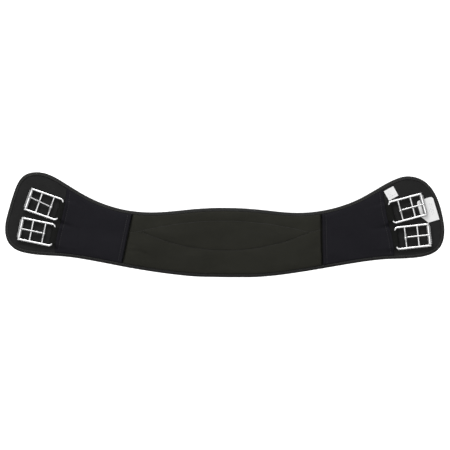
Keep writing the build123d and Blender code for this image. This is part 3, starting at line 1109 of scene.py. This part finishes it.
for name in BUCKLES:
    strap = make_strap(name)
    soft(strap, name.split("_")[0], f"{name}_strap")


# ---- Stitching --------------------------------------------
THREAD_R = 0.3  # the thread's radius
THREAD_LIFT = 0.08  # of its middle above the cloth
# Each dash, as rings: share of its length, share of the thread's radius and lift.
THREAD_RINGS = (
    (0.0, 0.35, -0.22),
    (0.16, 0.85, 0.0),
    (0.5, 1.0, 0.08),
    (0.84, 0.85, 0.0),
    (1.0, 0.35, -0.22),
)


def stitch_row(line, height, stitch, vertices, faces):
    """Adds one thread dash for each pitch of a line that lies in plan; height gives its level."""
    pitch, length = stitch
    steps = np.concatenate([[0], np.cumsum(np.linalg.norm(np.diff(line, axis=0), axis=1))])
    for middle in np.arange(pitch / 2, steps[-1] - pitch / 2, pitch):
        ends = np.array([middle - length / 2, middle + length / 2])
        start, end = np.column_stack([np.interp(ends, steps, line[:, k]) for k in (0, 1)])
        way = (end - start) / max(1e-6, np.linalg.norm(end - start))
        side_way = np.array([-way[1], way[0]])
        levels = height(np.array([start, (start + end) / 2, end]))
        first = len(vertices)
        for share, swell, lift in THREAD_RINGS:
            centre = start + (end - start) * share
            level = np.interp(share, [0, 0.5, 1], levels) + lift
            for corner in range(6):
                turn = math.pi * corner / 3
                x, y = centre + side_way * (THREAD_R * swell * math.cos(turn))
                vertices.append((x, y, level + THREAD_R * swell * math.sin(turn)))
        for ring in range(4):
            for corner in range(6):
                a = first + ring * 6 + corner
                b = first + ring * 6 + (corner + 1) % 6
                faces.append((a, a + 6, b + 6, b))
        faces.append([first + corner for corner in range(6)])
        faces.append([first + 24 + corner for corner in range(6)][::-1])


def clipped(line, keep):
    """The longest stretch of a line whose points are kept."""
    best, run = [], []
    for point, wanted in zip(line, keep):
        if wanted:
            run.append(point)
        else:
            best, run = (run if len(run) > len(best) else best), []
    best = run if len(run) > len(best) else best
    return np.array(best)


TAPE_LEVEL = 9.92  # of the thread on the outer face of the tape
UNDER_LEVEL = 0.12  # and on its contact face


def at_level(level):
    return lambda points: np.full(len(points), level)


def region_height(top, region):
    """Height of a slab's top at any points inside its region."""
    return lambda points: top(points, region(points)) + THREAD_LIFT


for place in PLACES:
    vertices, faces = [], []
    for points, normals, _ in rim_runs(place):
        line = points + normals * BINDING_STITCH_IN
        for level in (TAPE_LEVEL, UNDER_LEVEL):
            stitch_row(line, at_level(level), TAPE_STITCH, vertices, faces)
    if place == "centre":
        top = puffed(0.8, 12.0)
        for seam in SEAMS:
            stitch_row(even_steps(seam, 0.5), region_height(top, lens_gap), QUILT_STITCH, vertices, faces)
    else:
        region, top = cover_region(place), cover_tops[place]
        point, run, out_way = flex_line(place)
        reach = np.arange(-90, 90, 0.5)[:, None]
        row = point + run * reach + out_way * FLEX_STITCH_OUT
        row = clipped(row, (region(row) > 1.5) & (rim_gap(row) > BINDING_WIDTH + 1.5))
        stitch_row(row, region_height(top, region), COVER_STITCH, vertices, faces)
        edge = even_steps(COVER_EDGE[place], 0.5)
        inward = left_of(edge) * COVER_STITCH_IN
        trial = edge + inward
        if region(trial[len(trial) // 2][None])[0] < 0:
            trial = edge - inward
        row = clipped(trial, rim_gap(trial) > BINDING_WIDTH + 1.5)
        stitch_row(row, region_height(top, region), COVER_STITCH, vertices, faces)
    stitches = make(f"stitching_{place}", vertices, faces, THREAD)
    soft(stitches, place)


# ---- Card labels ------------------------------------------
CARD_THICK = 0.3
CARD_GRID = 0.9


def inside_hull(points, hull):
    """Points inside a convex outline that runs counter-clockwise."""
    inside = np.ones(len(points), bool)
    for start, end in zip(hull, np.roll(hull, -1, axis=0)):
        way = end - start
        offset = points - start
        inside &= way[0] * offset[:, 1] - way[1] * offset[:, 0] > 0.45 * np.linalg.norm(way)
    return inside


def make_card(name, level, material):
    """A thin card with its CAD node's outline; level gives the height of its underside in plan."""
    plan = np.unique(np.round(cad_mesh(name)[0][:, :2], 3), axis=0)
    hull = plan[convex_hull_2d([tuple(point) for point in plan])]
    rim = even_steps(hull, CARD_GRID, closed=True)
    rim = np.vstack([rim, hull])
    angle = np.arctan2(*(rim - rim.mean(axis=0)).T[::-1])
    rim = rim[np.argsort(angle)]
    low, high = rim.min(axis=0), rim.max(axis=0)
    spans = [np.arange(a, b, CARD_GRID) for a, b in zip(low, high)]
    grid = np.stack(np.meshgrid(*spans), axis=-1).reshape(-1, 2)
    every = np.vstack([rim, grid[inside_hull(grid, hull)]])
    count = len(rim)
    edges = [(i, (i + 1) % count) for i in range(count)]
    points, _, triangles, _, _, _ = delaunay_2d_cdt([Vector(p) for p in every], edges, [], 1, 1e-4)
    flat = np.array([tuple(point) for point in points])
    triangles = np.array([list(t) for t in triangles])
    heights = level(flat)
    upper, lower = np.column_stack([flat, heights + CARD_THICK]), np.column_stack([flat, heights])
    vertices = np.vstack([upper, lower])
    total = len(flat)
    walls = [(b, a, a + total, b + total) for a, b in open_edges(triangles)]
    faces = triangles.tolist() + (triangles[:, ::-1] + total).tolist() + walls
    return make(name + "_card", vertices, faces, material)


def under_label(flat):
    """Height of what lies under each point of the right end."""
    cover = cover_region("right")(flat)
    lip = cover_tops["right"](flat, np.maximum(cover, 0))
    return np.where(cover > 0, lip, pad_top(flat, rim_gap(flat)))


def label_level(flat):
    """Rests on the pad at its far side and on the edge of the cover."""
    along = buckle_axes("right_upper")[1]
    reach = -(flat @ along)
    reach -= reach.min()
    need = under_label(flat) - PAD_TOP - 0.05
    slope = np.max(need[reach > 6] / reach[reach > 6])
    return PAD_TOP + 0.1 + slope * reach


def tag_level(flat):
    """Flat on the pad under the buckle, with its free end curled up a little."""
    bar, along, left = buckle_axes("right_upper")
    offset = flat - bar[:2]
    free = np.maximum(offset @ along - 54, 0)
    return PAD_TOP + 0.08 + 0.010 * free**2 + 0.0012 * free * np.abs(offset @ left)


CARDS = (("size_label", label_level, LABEL_CARD), ("swing_tag", tag_level, TAG_CARD))
for name, level, material in CARDS:
    card = make_card(name, level, material)
    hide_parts(name)
    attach(card, "right_wing")


# ---- Finish -----------------------------------------------
for name in BUCKLES:
    for piece in ("frame", "tongue", "roller"):
        metal = frame["nodes"][f"{name}_buckle_{piece}"]
        metal.data.materials.clear()
        metal.data.materials.append(STEEL)
